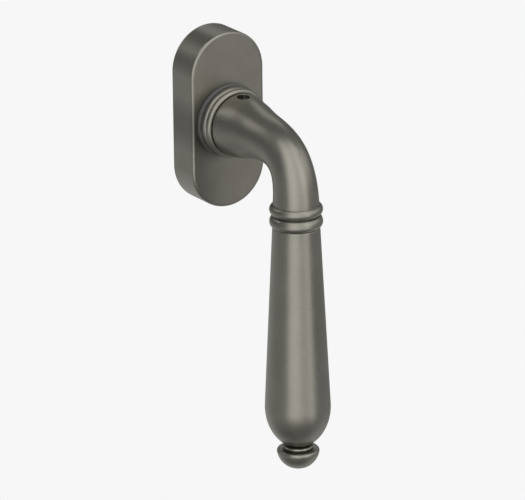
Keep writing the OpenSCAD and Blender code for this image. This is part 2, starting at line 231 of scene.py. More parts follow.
def turned(name, outline, place, segments=ROUND_SEGMENTS):
    """Turns a closed section about an axis. Points at radius 0 become one point on the axis."""
    area = sum(p[0] * q[1] - q[0] * p[1] for p, q in zip(outline, outline[1:] + outline[:1]))
    side = 1 if area > 0 else -1
    points, rings, edge, sharp, faces = [], [], [], [], []
    for i, (r, h) in enumerate(outline):
        turn, rate = bend_at(outline[i - 1], outline[i], outline[(i + 1) % len(outline)])
        count = segments if r > 1e-6 else 1
        start = len(points)
        rings.append([start + k % count for k in range(segments)])
        points.extend(place(r, FULL_TURN * k / segments, h) for k in range(count))
        edge.extend([wear_and_painted_light_of(rate * side)] * count)
        if abs(turn) > SHARP_ANGLE and count > 1:
            ring = rings[-1]
            sharp.extend(tuple(sorted((ring[k], ring[(k + 1) % segments]))) for k in range(segments))
    for a, b in zip(rings, rings[1:] + rings[:1]):
        for k in range(segments):
            quad = [a[k], a[(k + 1) % segments], b[(k + 1) % segments], b[k]]
            face = list(dict.fromkeys(quad))
            if len(face) > 2:
                faces.append(face)
    return make_piece(name, points, faces, sharp, edge)


def finish_piece(piece, node, material):
    """Gives a piece its material, and lets it ride and stand for a CAD node."""
    piece.data.materials.append(material)
    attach(piece, BODY_OF[node])
    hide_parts(node)


BODY_OF = {node: body for body, nodes in frame["record"]["behaviour"]["bodies"].items() for node in nodes}


# ---------------------------------------------------------------- rosette
COVER_WALL = 1.6
COVER_EDGE = 1.0
COVER_RIM_EDGE = 0.25
COVER_FACE_IN = 6      # how far in from the outline the face's last ring lies
COVER_HOLE_R = 12.55
SNAP_START = 3.6
SNAP_END = 4.8
SNAP_DEPTH = 0.4
BUSH_BODY_R = COVER_HOLE_R - SLIP
BUSH_BORE_R = COVER_HOLE_R - 3.5
BAND_GAP = 0.02        # keeps the band's back clear of the cover's face
COVER_ARC_SEGMENTS = 72
COVER_SIDE_SEGMENTS = 36


def stadium_stations():
    """(centre height, direction) all the way round the rosette's outline, anticlockwise from the room."""
    stations = []
    for side in (1, -1):
        first = 0 if side > 0 else math.pi
        for k in range(COVER_ARC_SEGMENTS + 1):
            a = first + math.pi * k / COVER_ARC_SEGMENTS
            stations.append((side * COVER_STRAIGHT, Vector((math.cos(a), math.sin(a)))))
        for k in range(1, COVER_SIDE_SEGMENTS):
            z = side * COVER_STRAIGHT * (1 - 2 * k / COVER_SIDE_SEGMENTS)
            stations.append((z, Vector((-side, 0))))
    return stations


def rosette_cover(material):
    """The cover: rings that follow its outline, and round rings at the hole for the neck."""
    stations = stadium_stations()
    face, ceiling = COVER_D, COVER_D - COVER_WALL
    inner = COVER_R - COVER_WALL
    deep = inner + SNAP_DEPTH
    outer = section(
        (inner, 0, 0),
        (COVER_R, 0, COVER_RIM_EDGE),
        (COVER_R, face, COVER_EDGE),
        (COVER_R - COVER_FACE_IN, face, 0))
    hole = [(COVER_HOLE_R, face), (COVER_HOLE_R, ceiling)]
    groove = [(inner, SNAP_END), (deep, SNAP_END), (deep, SNAP_START), (inner, SNAP_START)]
    corner_in = [(inner - SUPPORT, ceiling), (inner, ceiling), (inner, ceiling - SUPPORT)]
    under = [*corner_in, *groove, (inner, SUPPORT)]
    rings = [(p, False) for p in outer[:-1]] + [(p, True) for p in hole] + [(p, False) for p in under]
    points, edge, sharp, faces = [], [], [], []
    count = len(stations)
    for i, ((r, d), is_round) in enumerate(rings):
        before, after = rings[i - 1][0], rings[(i + 1) % len(rings)][0]
        turn, rate = bend_at(before, (r, d), after)
        for z, way in stations:
            spot = Vector((way.x * r, z + way.y * r))
            if is_round:
                spot = Vector((way.x * COVER_R, z + way.y * COVER_R)).normalized() * r
            points.append(Vector((spot.x, -d, spot.y)))
            edge.append(wear_and_painted_light_of(rate))
        if abs(turn) > SHARP_ANGLE:
            ring = [i * count + k for k in range(count)]
            sharp.extend(tuple(sorted(pair)) for pair in zip(ring, ring[1:] + ring[:1]))
    for i in range(len(rings)):
        j = (i + 1) % len(rings)
        for k in range(count):
            n = (k + 1) % count
            faces.append([i * count + k, i * count + n, j * count + n, j * count + k])
    piece = make_piece("rosette_cover_shell", points, faces, sharp, edge)
    finish_piece(piece, "rosette_cover", material)


def collar_bush(material):
    """The fixed band on the cover's face, and the bush inside it."""
    back = COVER_D + BAND_GAP
    outline = section(
        (BUSH_BORE_R, BUSH_START, 0.2),
        (BUSH_BODY_R, BUSH_START, 0.2),
        (BUSH_BODY_R, back, 0),
        (BUSH_R, back, 0.15),
        (BUSH_R, BUSH_END, 0.35),
        (BUSH_BORE_R, BUSH_END, 0.3))
    piece = turned("collar_bush_band", outline, about_spindle)
    finish_piece(piece, "collar_bush", material)


# ---------------------------------------------------------------- lever
COLLAR_BORE_R = 9.02
COLLAR_BEAD_R = 1.25
COLLAR_PITCH = 2.55
COLLAR_CORE_R = COLLAR_R - 1.7
COLLAR_BACK = COLLAR_START + 0.3
COLLAR_BACK_ANGLE = -89
FERRULE_BORE_R = 5.52
FERRULE_BEAD_R = 2.2
FERRULE_FIRST = FERRULE_TOP - 2.1
FERRULE_PITCH = 4.8
FERRULE_CORE_R = 8.9
FERRULE_SLOPE = 0.3    # how much the lower bead's upper side is drawn out
ROD_BORE_R = 3.1


def neck_collar(material):
    """Two half-round beads on a sleeve, next to the rosette."""
    first = COLLAR_START + COLLAR_BEAD_R
    outline = section(
        (COLLAR_BORE_R, COLLAR_END, 0),
        (COLLAR_BORE_R, COLLAR_BACK, 0.1),
        bead(COLLAR_R, first, COLLAR_BEAD_R, COLLAR_CORE_R, lower=COLLAR_BACK_ANGLE)[::-1],
        bead(COLLAR_R, first + COLLAR_PITCH, COLLAR_BEAD_R, COLLAR_CORE_R)[::-1],
        (COLLAR_CORE_R, COLLAR_END, 0))
    piece = turned("neck_collar_beads", outline, about_spindle)
    finish_piece(piece, "neck_collar", material)


def grip_ferrule(material):
    """Two half-round beads between the neck and the grip. The lower one's upper side is drawn out."""
    second = FERRULE_FIRST - FERRULE_PITCH
    lower_bead = [
        (r, h + FERRULE_SLOPE * max(0.0, h - second))
        for r, h in bead(FERRULE_R, second, FERRULE_BEAD_R, FERRULE_CORE_R)]
    outline = section(
        (FERRULE_BORE_R, FERRULE_TOP, 0),
        (FERRULE_CORE_R, FERRULE_TOP, 0.15),
        bead(FERRULE_R, FERRULE_FIRST, FERRULE_BEAD_R, FERRULE_CORE_R),
        lower_bead,
        (FERRULE_CORE_R, FERRULE_END, 0),
        (FERRULE_BORE_R, FERRULE_END, 0))
    piece = turned("grip_ferrule_beads", outline, about_grip)
    finish_piece(piece, "grip_ferrule", material)


GRIP_TOP_R = 8.9
GRIP_ROUND = 16.1      # height of the whole ellipse's half
GRIP_ROUND_FROM = 15.4
GRIP_ROUND_STEPS = 40
GRIP_SIDE_STEPS = 12
GRIP_COUNTERBORE_END = STEM_END - 0.5


def grip(material):
    """A long straight taper that runs on into half an ellipse, with a bore for the tie rod."""
    widest = GRIP_END + GRIP_ROUND_FROM
    lowest = math.asin(GRIP_ROUND_FROM / GRIP_ROUND)
    taper = math.atan2(GRIP_R - GRIP_TOP_R, FERRULE_END - widest)
    start = -math.atan(math.tan(taper) * GRIP_ROUND / GRIP_R)
    rounded = []
    for i in range(GRIP_ROUND_STEPS + 1):
        a = start + (lowest - start) * i / GRIP_ROUND_STEPS
        rounded.append((GRIP_R * math.cos(a), widest - GRIP_ROUND * math.sin(a)))
    top, foot = Vector((GRIP_TOP_R, FERRULE_END)), Vector(rounded[0])
    side = [tuple(top.lerp(foot, i / GRIP_SIDE_STEPS)) for i in range(1, GRIP_SIDE_STEPS)]
    outline = section(
        (FERRULE_BORE_R, FERRULE_END, 0),
        (GRIP_TOP_R, FERRULE_END, 0.25),
        side,
        rounded,
        (ROD_BORE_R, GRIP_END, 0),
        (ROD_BORE_R, GRIP_COUNTERBORE_END, 0),
        (FERRULE_BORE_R, GRIP_COUNTERBORE_END, 0))
    finish_piece(turned("grip_body", outline, about_grip), "grip", material)


FINIAL_DOME = 6.75
FINIAL_DOME_POWERS = (1.57, 2.4)
FINIAL_DOME_STEPS = 32
FINIAL_RIM_W = 0.85
FINIAL_RIM_H = 0.95
FINIAL_RIM_STEPS = 12
FINIAL_LEDGE = 0.6     # flat on top of the rim
FINIAL_COVE_R = 5.25
FINIAL_COVE_BEND = 0.42
FINIAL_RING_R = 5.85
FINIAL_RING_AT = 8.65
FINIAL_RING_BEND = 0.55
FINIAL_NECK_R = FINIAL_RING_R - 0.6
FINIAL_HOLE_R = ROD_R + SLIP
FINIAL_HOLE_DEPTH = 6.2


def finial(material):
    """A small ring, a cove, a rim and a slightly pointed dome, bored from above for the tie rod."""
    rim_z = FINIAL_END + FINIAL_DOME
    ring_z = FINIAL_END + FINIAL_RING_AT
    fall, swell = FINIAL_DOME_POWERS
    dome = []
    for i in range(FINIAL_DOME_STEPS + 1):
        q = math.cos(math.pi / 2 * i / FINIAL_DOME_STEPS)
        dome.append((FINIAL_R * (1 - q ** fall) ** (1 / swell), rim_z - FINIAL_DOME * q))
    lip = []
    for i in range(1, FINIAL_RIM_STEPS + 1):
        a = math.pi / 2 * i / FINIAL_RIM_STEPS
        lip.append((FINIAL_R - FINIAL_RIM_W * (1 - math.cos(a)), rim_z + FINIAL_RIM_H * math.sin(a)))
    shoulder_z = rim_z + FINIAL_RIM_H
    lip.append((lip[-1][0] - FINIAL_LEDGE, shoulder_z + 0.02))
    cove_at = (FINIAL_COVE_R + FINIAL_COVE_BEND, shoulder_z + FINIAL_COVE_BEND + 0.03)
    bottom = FINIAL_TOP - FINIAL_HOLE_DEPTH
    outline = section(
        dome,
        lip,
        arc(cove_at, FINIAL_COVE_BEND, 270, 170),
        arc((FINIAL_RING_R - FINIAL_RING_BEND, ring_z), FINIAL_RING_BEND, -40, 88),
        (FINIAL_NECK_R, FINIAL_TOP, 0),
        (FINIAL_HOLE_R, FINIAL_TOP, 0.1),
        (FINIAL_HOLE_R, bottom, 0),
        (0, bottom, 0))
    finish_piece(turned("finial_knob", outline, about_grip), "finial", material)


# Neck: the same centre line and radii as the CAD node, on a finer grid
NECK_FROM = COLLAR_END
NECK_TO = -FERRULE_TOP
NECK_PULL_ROOT = 20.7
NECK_PULL_END = 23.2
NECK_WAIST_R = 7.9
NECK_END_R = 8.65
# How the radius goes from root to waist and on to the end: fitted to the photo's outline, then rounded
NECK_FLARE = (1, 0.77, 0.39, 0.18, 0.04, 0)
NECK_SWELL = (0.42, 1)
NECK_ROOT_SLOPE = -0.115
NECK_RADII = (
    *(NECK_WAIST_R + (NECK_ROOT_R - NECK_WAIST_R) * share for share in NECK_FLARE),
    *(NECK_WAIST_R + (NECK_END_R - NECK_WAIST_R) * share for share in NECK_SWELL))
NECK_RINGS = 150
NECK_SIDES = 160
NECK_CROWDING = 1.25   # above 1, the rings are closer together near the collar
LENGTH_STEPS = 600
SPIGOT_R = 9.0
STEM_R = 5.5
ROD_HOLE_R = ROD_R + SLIP
ROD_HOLE_END = ROD_TOP + 1
CHAMFER = 0.3          # at the ends of the spigot and the stem
SOCKET_HALF = SPINDLE_HALF + SLIP
SOCKET_END = SPINDLE_IN + 1

# The set screw's hole, its rounded edge, and the patch of the neck's grid round it
HOLE_R = 2.5
HOLE_EDGE = 0.08
HOLE_EDGE_PARTS = (0.3, 0.65, 1.0)
# The hole's rounded edge is lighter: abrasion with a painted highlight.
HOLE_EDGE_WEAR_AND_SHEEN = 0.7
HOLE_WALL_DROPS = (HOLE_EDGE + 0.15, 0.8, 1.6)
HOLE_COLUMNS = 14
HOLE_RINGS = 8
HOLE_CROWDING = 1.5
HOLE_MARGIN = 0.8
HOLE_FLOOR = SOCKET_HALF + 0.3
# A painted highlight on part of the hole's wall, the rest painted as shade: directions in degrees seen from
# above, and its depth
HOLE_HIGHLIGHT_FROM = -62
HOLE_HIGHLIGHT_TO = -8
HOLE_HIGHLIGHT_DROP = 0.5


def neck_centre(t):
    """A point of the centre line: (distance from the sash, height)."""
    u = 1 - t
    weights = (u ** 3, 3 * u * u * t, 3 * u * t * t, t ** 3)
    corners = (
        (NECK_FROM, 0),
        (NECK_FROM + NECK_PULL_ROOT, 0),
        (GRIP_REACH, NECK_PULL_END - NECK_TO),
        (GRIP_REACH, -NECK_TO))
    return sum((w * Vector(c) for w, c in zip(weights, corners)), Vector((0, 0)))


def neck_slope(i):
    """How fast the radius changes at place i of the table, per step."""
    if i == 0:
        return NECK_ROOT_SLOPE * (NECK_ROOT_R - NECK_WAIST_R)
    if i == len(NECK_RADII) - 1:
        return NECK_RADII[i] - NECK_RADII[i - 1]
    return (NECK_RADII[i + 1] - NECK_RADII[i - 1]) / 2


def neck_radius(s):
    """Radius at s, the share of the centre line's length, from 0 to 1: a smooth curve through the table."""
    last = len(NECK_RADII) - 1
    i = max(0, min(int(s * last), last - 1))
    t = s * last - i
    turn = t * t * (3 - 2 * t)
    return (NECK_RADII[i] * (1 - turn) + NECK_RADII[i + 1] * turn
            + neck_slope(i) * t * (1 - t) ** 2 - neck_slope(i + 1) * t * t * (1 - t))


class NeckCurve:
    """The neck's centre line with its running length, so that any place on the surface can be found."""

    def __init__(self):
        points = [neck_centre(i / LENGTH_STEPS) for i in range(LENGTH_STEPS + 1)]
        self.run = [0.0]
        for a, b in zip(points, points[1:]):
            self.run.append(self.run[-1] + (b - a).length)

    def share(self, t):
        """The share of the length that lies before t."""
        place = t * LENGTH_STEPS
        i = max(0, min(int(place), LENGTH_STEPS - 1))
        run = self.run[i] + (self.run[i + 1] - self.run[i]) * (place - i)
        return run / self.run[-1]

    def surface(self, t, angle):
        """The surface point at t, turned by angle from the top."""
        e = 0.0005
        heading = (neck_centre(min(1, t + e)) - neck_centre(max(0, t - e))).normalized()
        c = neck_centre(t)
        r = neck_radius(self.share(t))
        up = r * math.cos(angle)
        return Vector((r * math.sin(angle), -(c.x - up * heading.y), c.y + up * heading.x))

    def over(self, x, out):
        """(t, angle) of the surface point above a spot near the neck's root."""
        t = (out - NECK_FROM) / (3 * NECK_PULL_ROOT)
        angle = 0.0
        for _ in range(20):
            angle = math.asin(x / neck_radius(self.share(t)))
            t += (out + self.surface(t, angle).y) / (3 * NECK_PULL_ROOT)
        return t, angle


class Shell:
    """Points and faces that are collected ring by ring."""

    def __init__(self):
        self.points, self.edge, self.faces, self.sharp = [], [], [], []

    # The mark given with each point: -1 for a painted shade, up to 1 for edge abrasion with a painted
    # highlight.
    def add(self, point, painted_light_and_wear=0.0):
        self.points.append(point)
        self.edge.append(painted_light_and_wear)
        return len(self.points) - 1

    def ring(self, points, painted_light_and_wear=0.0):
        return [self.add(p, painted_light_and_wear) for p in points]

    def bridge(self, a, b):
        for k in range(len(a)):
            n = (k + 1) % len(a)
            self.faces.append([a[k], a[n], b[n], b[k]])
        return b

    def crease(self, ring):
        self.sharp.extend(tuple(sorted(pair)) for pair in zip(ring, ring[1:] + ring[:1]))

    def step_on(self, ring, steps, count):
        """Carries a ring on through steps of (place, radius, height) with hard edges, and closes the end."""
        self.crease(ring)
        for place, r, h in steps:
            ring = self.bridge(ring, self.ring(place(r, FULL_TURN * k / count, h) for k in range(count)))
            self.crease(ring)
        self.faces.append(list(ring))


def socket_wall(half, angle, out):
    """A point of the spindle's square socket, at that angle from straight up."""
    x, z = math.sin(angle), math.cos(angle)
    reach = half / max(abs(x), abs(z))
    return Vector((x * reach, -out, z * reach))


def set_screw_hole(shell, curve, stations, grid, first, last):
    """Fills the gap left in the neck's grid with a patch that closes in on the hole, and sinks the hole."""
    half = HOLE_COLUMNS
    loop = [(first, k) for k in range(-half, half + 1)]
    loop += [(i, half) for i in range(first + 1, last)]
    loop += [(last, k) for k in range(half, -half - 1, -1)]
    loop += [(i, -half) for i in range(last - 1, first, -1)]
    starts = [(stations[i], FULL_TURN * k / NECK_SIDES) for i, k in loop]
    ring = [grid[i][k % NECK_SIDES] for i, k in loop]
    rim, ends = [], []
    for t, angle in starts:
        p = curve.surface(t, angle)
        way = Vector((p.x, -p.y - SET_SCREW_AT)).normalized()
        rim.append(way)
        ends.append(curve.over(way.x * HOLE_R, SET_SCREW_AT + way.y * HOLE_R))
    for step in range(1, HOLE_RINGS + 1):
        share = 1 - (1 - step / HOLE_RINGS) ** HOLE_CROWDING
        ring = shell.bridge(ring, shell.ring(
            curve.surface(t0 + (t1 - t0) * share, a0 + (a1 - a0) * share)
            for (t0, a0), (t1, a1) in zip(starts, ends)))
    top = [shell.points[n].z for n in ring]
    for part in HOLE_EDGE_PARTS:
        turn = part * math.pi / 2
        r, drop = HOLE_R - HOLE_EDGE * math.sin(turn), HOLE_EDGE * (1 - math.cos(turn))
        ring = shell.bridge(ring, shell.ring(
            (Vector((w.x * r, -SET_SCREW_AT - w.y * r, z - drop)) for w, z in zip(rim, top)), HOLE_EDGE_WEAR_AND_SHEEN))
    r = HOLE_R - HOLE_EDGE
    for drop in HOLE_WALL_DROPS:
        ring = shell.bridge(ring, shell.ring(
            Vector((w.x * r, -SET_SCREW_AT - w.y * r, z - drop)) for w, z in zip(rim, top)))
        # Painted highlight on one part of the wall, painted shade on the rest.
        for n, w in zip(ring, rim):
            towards = math.degrees(math.atan2(w.y, w.x))
            highlit = drop > HOLE_HIGHLIGHT_DROP and HOLE_HIGHLIGHT_FROM < towards < HOLE_HIGHLIGHT_TO
            shell.edge[n] = 1.0 if highlit else -1.0
    # Painted shade down at the screw and the hole's floor.
    for height in (SET_SCREW_TOP - 0.3, HOLE_FLOOR):
        ring = shell.bridge(ring, shell.ring(
            (Vector((w.x * r, -SET_SCREW_AT - w.y * r, height)) for w in rim), -1.0))
    shell.crease(ring)
    shell.faces.append(ring)


def lever_neck(material):
    """The bent neck with the set screw's hole, the spigot with its square socket, and the bored stem."""
    curve = NeckCurve()
    shell = Shell()
    stations = [(i / NECK_RINGS) ** NECK_CROWDING for i in range(NECK_RINGS + 1)]
    patch_end = SET_SCREW_AT + HOLE_R + HOLE_MARGIN
    first = 0
    last = next(i for i, t in enumerate(stations) if neck_centre(t).x > patch_end)
    grid = []
    for i, t in enumerate(stations):
        row = []
        for k in range(NECK_SIDES):
            column = k if k <= NECK_SIDES // 2 else k - NECK_SIDES
            gap = first < i < last and abs(column) < HOLE_COLUMNS
            row.append(None if gap else shell.add(curve.surface(t, FULL_TURN * k / NECK_SIDES)))
        grid.append(row)
    for a, b in zip(grid, grid[1:]):
        for k in range(NECK_SIDES):
            n = (k + 1) % NECK_SIDES
            quad = [a[k], a[n], b[n], b[k]]
            if None not in quad:
                shell.faces.append(quad)
    set_screw_hole(shell, curve, stations, grid, first, last)
    spigot = [
        (about_spindle, SPIGOT_R, NECK_FROM),
        (about_spindle, SPIGOT_R, NECK_START + CHAMFER),
        (about_spindle, SPIGOT_R - CHAMFER, NECK_START),
        (socket_wall, SOCKET_HALF, NECK_START),
        (socket_wall, SOCKET_HALF, SOCKET_END)]
    stem = [
        (about_grip, STEM_R, -NECK_TO),
        (about_grip, STEM_R, STEM_END + CHAMFER),
        (about_grip, STEM_R - CHAMFER, STEM_END),
        (about_grip, ROD_HOLE_R, STEM_END),
        (about_grip, ROD_HOLE_R, ROD_HOLE_END)]
    shell.step_on(grid[0], spigot, NECK_SIDES)
    shell.step_on(grid[-1], stem, NECK_SIDES)
    piece = make_piece("lever_neck_bend", shell.points, shell.faces, shell.sharp, shell.edge)
    finish_piece(piece, "lever_neck", material)


# ---------------------------------------------------------------- screws, lugs and spindle
SET_SCREW_R = HOLE_R - HOLE_EDGE - SLIP
SET_SCREW_HEX = 2.5
SET_SCREW_HEX_DEPTH = 2.6
SET_SCREW_FOOT = HOLE_FLOOR + SLIP
SET_SCREW_CONE = 0.5
HEX_PART = 8


def about_set_screw(radius, angle, z):
    """A point at that height, turned about the set screw's axis."""
    return Vector((radius * math.sin(angle), -SET_SCREW_AT - radius * math.cos(angle), z))


def hexagon_wall(across, angle, z):
    """A point of a hexagon, with that width across its flats, about the set screw's axis."""
    part = (angle + math.pi / 6) % (math.pi / 3) - math.pi / 6
    return about_set_screw(across / 2 / math.cos(part), angle, z)


def set_screw(material):
    """A hollow-set grub screw with a hexagon socket."""
    shell = Shell()
    count = 6 * HEX_PART
    outline = [
        (about_set_screw, SET_SCREW_R - SET_SCREW_CONE, SET_SCREW_FOOT),
        (about_set_screw, SET_SCREW_R, SET_SCREW_FOOT + SET_SCREW_CONE),
        (about_set_screw, SET_SCREW_R, SET_SCREW_TOP - 0.35),
        (about_set_screw, SET_SCREW_R - 0.1, SET_SCREW_TOP - 0.1),
        (about_set_screw, SET_SCREW_R - 0.35, SET_SCREW_TOP),
        (hexagon_wall, SET_SCREW_HEX + 0.2, SET_SCREW_TOP),
        (hexagon_wall, SET_SCREW_HEX, SET_SCREW_TOP - 0.1),
        (hexagon_wall, SET_SCREW_HEX, SET_SCREW_TOP - SET_SCREW_HEX_DEPTH)]
    place, r, h = outline[0]
    ring = shell.ring(place(r, FULL_TURN * k / count, h) for k in range(count))
    shell.faces.append(list(ring))
    shell.step_on(ring, outline[1:], count)
    piece = make_piece("set_screw_socket", shell.points, shell.faces, shell.sharp, shell.edge)
    finish_piece(piece, "set_screw", material)


SCREW_R = 2.5
SCREW_PITCH = 0.8
SCREW_TIP_CONE = 0.4
SCREW_TIP_R = 1.72
SCREW_HEAD_EDGE = 0.15
SCREW_NECK_AT = SCREW_TOP - SCREW_HEAD_R + SCREW_R
THREAD_DEPTH = 0.43
THREAD_PROFILE = (0.0, 0.0, 0.5, 1.0, 1.0, 0.5, 0.0, 0.0)
THREAD_STEPS = 8
THREAD_SIDES = 48
THREAD_FADE = 0.9
CROSS_LONG = 2.3
CROSS_HALF = 0.55
CROSS_DEPTH = 1.8


def cross_point(k, count):
    """A point of the cross recess, for place k of count round the screw's head, from straight up."""
    part = count // 4
    quarter, step = divmod(k + part // 6, part)
    third = part / 3
    corners = [
        (-CROSS_HALF, CROSS_LONG),
        (CROSS_HALF, CROSS_LONG),
        (CROSS_HALF, CROSS_HALF),
        (CROSS_LONG, CROSS_HALF)]
    i = min(int(step / third), 2)
    p = Vector(corners[i]).lerp(Vector(corners[i + 1]), step / third - i)
    for _ in range(quarter % 4):
        p = Vector((p.y, -p.x))
    return p


def fixing_screw(name, side, material):
    """A countersunk screw with a cross recess and a rolled thread past the lug."""
    shell = Shell()
    count = THREAD_SIDES
    place = about_fixing(side)
    thread_from, thread_to = SCREW_TIP_CONE - SCREW_TIP, -LUG_REACH - 0.3

    def circle(r, h):
        return shell.ring(place(r, FULL_TURN * k / count, h) for k in range(count))

    def cross(h):
        return shell.ring(
            place(0, 0, h) + Vector((p.x, 0, p.y)) for p in (cross_point(k, count) for k in range(count)))

    core = SCREW_R - THREAD_DEPTH
    rows = math.ceil((thread_to - thread_from) / SCREW_PITCH * THREAD_STEPS)
    ring = circle(SCREW_TIP_R, -SCREW_TIP)
    shell.faces.append(list(ring))
    shell.crease(ring)
    ring = shell.bridge(ring, circle(core, thread_from))
    for row in range(1, rows):
        h = thread_from + (thread_to - thread_from) * row / rows
        fade = min(1.0, (h - thread_from) / THREAD_FADE, (thread_to - h) / THREAD_FADE)
        spots = []
        for k in range(count):
            phase = ((h - thread_from) / SCREW_PITCH - k / count) % 1 * len(THREAD_PROFILE)
            i = int(phase)
            here, there = THREAD_PROFILE[i], THREAD_PROFILE[(i + 1) % len(THREAD_PROFILE)]
            level = here + (there - here) * (phase - i)
            spots.append(place(core + THREAD_DEPTH * level * fade, FULL_TURN * k / count, h))
        ring = shell.bridge(ring, shell.ring(spots))
    for h in (thread_to, SCREW_NECK_AT - 0.4):
        ring = shell.bridge(ring, circle(core, h))
    shell.crease(ring)
    head = (
        (SCREW_R - SLIP, SCREW_NECK_AT),
        (SCREW_HEAD_R - 0.1, SCREW_TOP - SCREW_HEAD_EDGE),
        (SCREW_HEAD_R - 0.1, SCREW_TOP))
    for r, h in head:
        ring = shell.bridge(ring, circle(r, h))
        shell.crease(ring)
    for h in (SCREW_TOP, SCREW_TOP - CROSS_DEPTH):
        ring = shell.bridge(ring, cross(h))
        shell.crease(ring)
    shell.faces.append(ring)
    piece = make_piece(name + "_cross", shell.points, shell.faces, shell.sharp, shell.edge)
    finish_piece(piece, name, material)


LUG_BORE_R = 2.75
LUG_SPIGOT_R = LUG_R - 0.5
LUG_UNDERCUT = 0.3
LUG_CHAMFER = 0.5
LUG_SEGMENTS = 96


def lug(name, side, material):
    """A sleeve with a chamfered tip, and a spigot that is pressed in the base plate."""
    outline = section(
        (LUG_BORE_R, LUG_SEAT, 0.1),
        (LUG_BORE_R, -LUG_REACH, 0.2),
        (LUG_R - LUG_CHAMFER, -LUG_REACH, 0.15),
        (LUG_R, LUG_CHAMFER - LUG_REACH, 0.15),
        (LUG_R, -LUG_UNDERCUT, 0.1),
        (LUG_SPIGOT_R, -LUG_UNDERCUT, 0),
        (LUG_SPIGOT_R, LUG_SEAT, 0.1))
    piece = turned(name + "_sleeve", outline, about_fixing(side), LUG_SEGMENTS)
    finish_piece(piece, name, material)


SPINDLE_CORNER = 0.3
SPINDLE_TIP = 1.0
SPINDLE_TIP_END = SPINDLE_TIP - SPINDLE_REACH


def spindle(material):
    """A drawn square bar with broken corners and a chamfered tip."""
    shell = Shell()

    def square(half, out):
        c = SPINDLE_CORNER
        tip = half - 0.3 * c
        spots = []
        for turn in range(4):
            for x, z in ((c - half, half), (-c, half), (c, half), (half - c, half), (tip, tip)):
                p = Vector((x, z))
                for _ in range(turn):
                    p = Vector((p.y, -p.x))
                spots.append(Vector((p.x, -out, p.y)))
        return shell.ring(spots)

    steps = [
        (SPINDLE_HALF - SPINDLE_TIP, -SPINDLE_REACH),
        (SPINDLE_HALF - 0.1, SPINDLE_TIP_END - 0.1),
        (SPINDLE_HALF, SPINDLE_TIP_END + 0.15),
        (SPINDLE_HALF, SPINDLE_IN - CHAMFER),
        (SPINDLE_HALF - CHAMFER, SPINDLE_IN)]
    ring = square(*steps[0])
    shell.faces.append(list(ring))
    shell.crease(ring)
    for half, out in steps[1:]:
        ring = shell.bridge(ring, square(half, out))
    shell.crease(ring)
    shell.faces.append(list(ring))
    piece = make_piece("spindle_bar", shell.points, shell.faces, shell.sharp, shell.edge)
    finish_piece(piece, "spindle", material)


# ---------------------------------------------------------------- materials
class Graph:
    """Short ways to add and link shader nodes."""

    def __init__(self, tree):
        self.tree = tree
        tree.nodes.clear()

    def put(self, socket, value):
        if isinstance(value, bpy.types.NodeSocket):
            self.tree.links.new(value, socket)
        else:
            socket.default_value = value

    def add(self, kind, inputs=None, **settings):
        node = self.tree.nodes.new(kind)
        for key, value in settings.items():
            setattr(node, key, value)
        for key, value in (inputs or {}).items():
            self.put(node.inputs[key], value)
        return node

    def math(self, operation, a, b=0.0, c=0.0):
        return self.add("ShaderNodeMath", {0: a, 1: b, 2: c}, operation=operation).outputs[0]

    def ramp(self, value, start, end, low=0.0, high=1.0):
        """Rises smoothly from low to high while the value goes from start to end."""
        ends = {0: value, 1: start, 2: end, 3: low, 4: high}
        return self.add("ShaderNodeMapRange", ends, interpolation_type="SMOOTHSTEP").outputs[0]

    def mix(self, share, a, b):
        """A mix of two colours, each a socket or (r, g, b)."""
        a, b = (c if isinstance(c, bpy.types.NodeSocket) else (*c, 1) for c in (a, b))
        return self.add("ShaderNodeMix", {0: share, 6: a, 7: b}, data_type="RGBA").outputs[2]

    def noise(self, place, scale, detail=3.0, roughness=0.5):
        settings = {"Vector": place, "Scale": scale, "Detail": detail, "Roughness": roughness}
        return self.add("ShaderNodeTexNoise", settings).outputs[0]

    def millimetres(self):
        place = self.add("ShaderNodeTexCoord").outputs["Object"]
        return self.add("ShaderNodeVectorMath", {0: place, "Scale": 1 / MM}, operation="SCALE").outputs[0]

    def stretched(self, place, x, y, z):
        return self.add("ShaderNodeVectorMath", {0: place, 1: (x, y, z)}, operation="MULTIPLY").outputs[0]

    def bump(self, height, distance_mm):
        settings = {"Strength": 1.0, "Distance": distance_mm * MM, "Height": height}
        return self.add("ShaderNodeBump", settings).outputs[0]


def new_material(name):
    material = bpy.data.materials.new(name)
    material.use_nodes = True
    return material, Graph(material.node_tree)


def close_material(graph, colour, roughness, normal, **fixed):
    """Ends a graph in one Principled shader."""
    shader = graph.add(
        "ShaderNodeBsdfPrincipled", {"Base Color": colour, "Roughness": roughness, "Normal": normal, **fixed})
    graph.add("ShaderNodeOutputMaterial", {"Surface": shader.outputs[0]})


